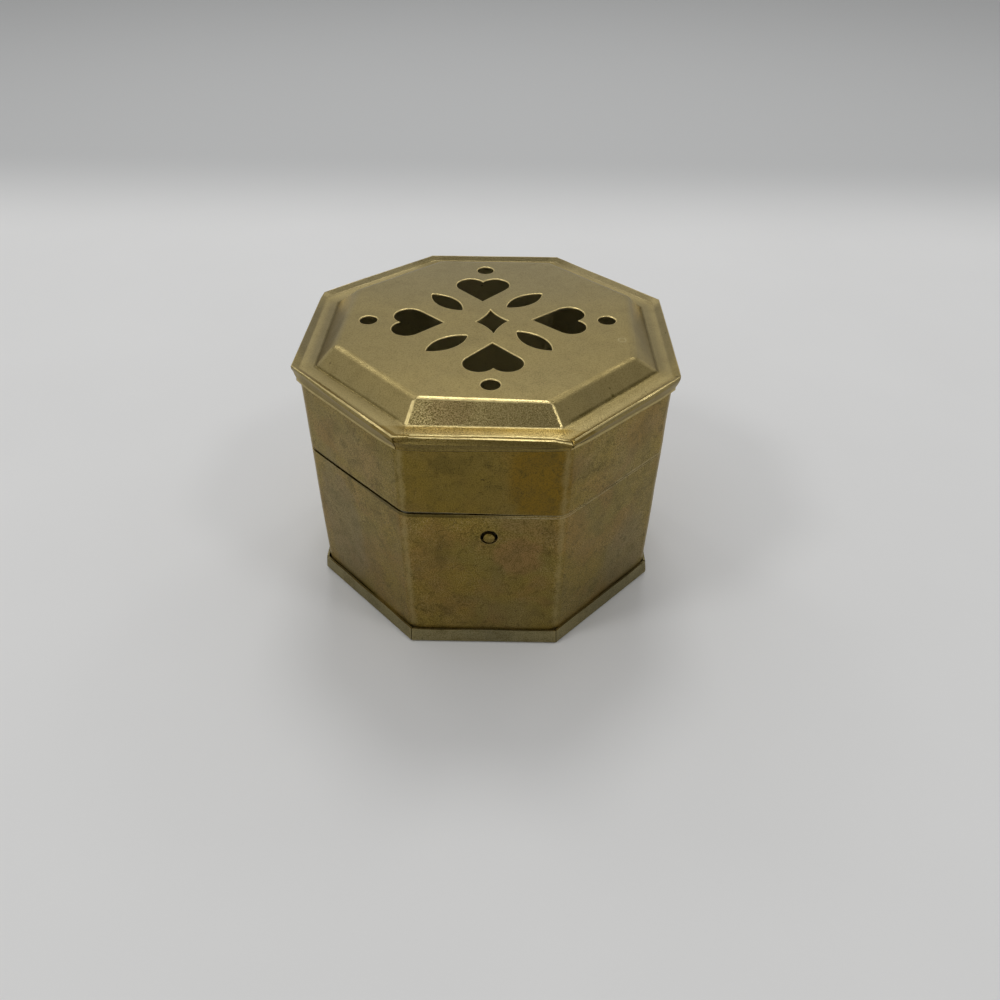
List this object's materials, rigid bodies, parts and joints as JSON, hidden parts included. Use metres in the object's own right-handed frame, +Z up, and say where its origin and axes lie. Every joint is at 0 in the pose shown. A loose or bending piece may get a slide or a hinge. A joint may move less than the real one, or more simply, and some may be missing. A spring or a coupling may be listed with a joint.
{
  "type": "trinket box",
  "caption": "Octagonal aged brass trinket box with a hinged lid pierced with hearts and leaves, and a push button catch.",
  "frame": {"origin": "centre of the face that the box stands on", "axes": "+Z up, the front with the push button towards -Y, the hinge towards +Y"},
  "size_m": [0.084, 0.0861, 0.063],
  "materials": {
    "lid_brass": "aged satin brass, olive-gold, finely pitted",
    "wall_brass": "aged brass with brown and olive patina, brushed lengthways",
    "base_brass": "dull grey-green tarnished brass",
    "hinge_brass": "handled brass, worn brighter on the barrel",
    "spring_brass": "hard rolled brass, satin"
  },
  "bodies": {
    "body": {"body_band": "wall_brass", "base_plate": "base_brass", "body_hinge_leaf": "hinge_brass", "hinge_pin": "hinge_brass", "body_hinge_rivet_left": "hinge_brass", "body_hinge_rivet_right": "hinge_brass"},
    "lid": {"lid_plate": "lid_brass", "lid_band": "wall_brass", "lid_hinge_leaf": "hinge_brass", "lid_hinge_rivet_left": "hinge_brass", "lid_hinge_rivet_right": "hinge_brass", "keeper_rod": "spring_brass"},
    "catch": {"catch_spring": "spring_brass", "catch_button": "wall_brass"}
  },
  "joints": [
    {"name": "lid_hinge", "type": "hinge", "parent": "body", "child": "lid", "pos_m": [0, 0.04255, 0.0393], "axis": [-1, 0, 0], "range_deg": [0, 185]},
    {"name": "button_press", "type": "hinge", "parent": "body", "child": "catch", "pos_m": [0.0012, -0.0397, 0.015], "axis": [-1, 0, 0], "range_deg": [0, 1.9], "stiffness_Nm_per_rad": 1.3}
  ]
}
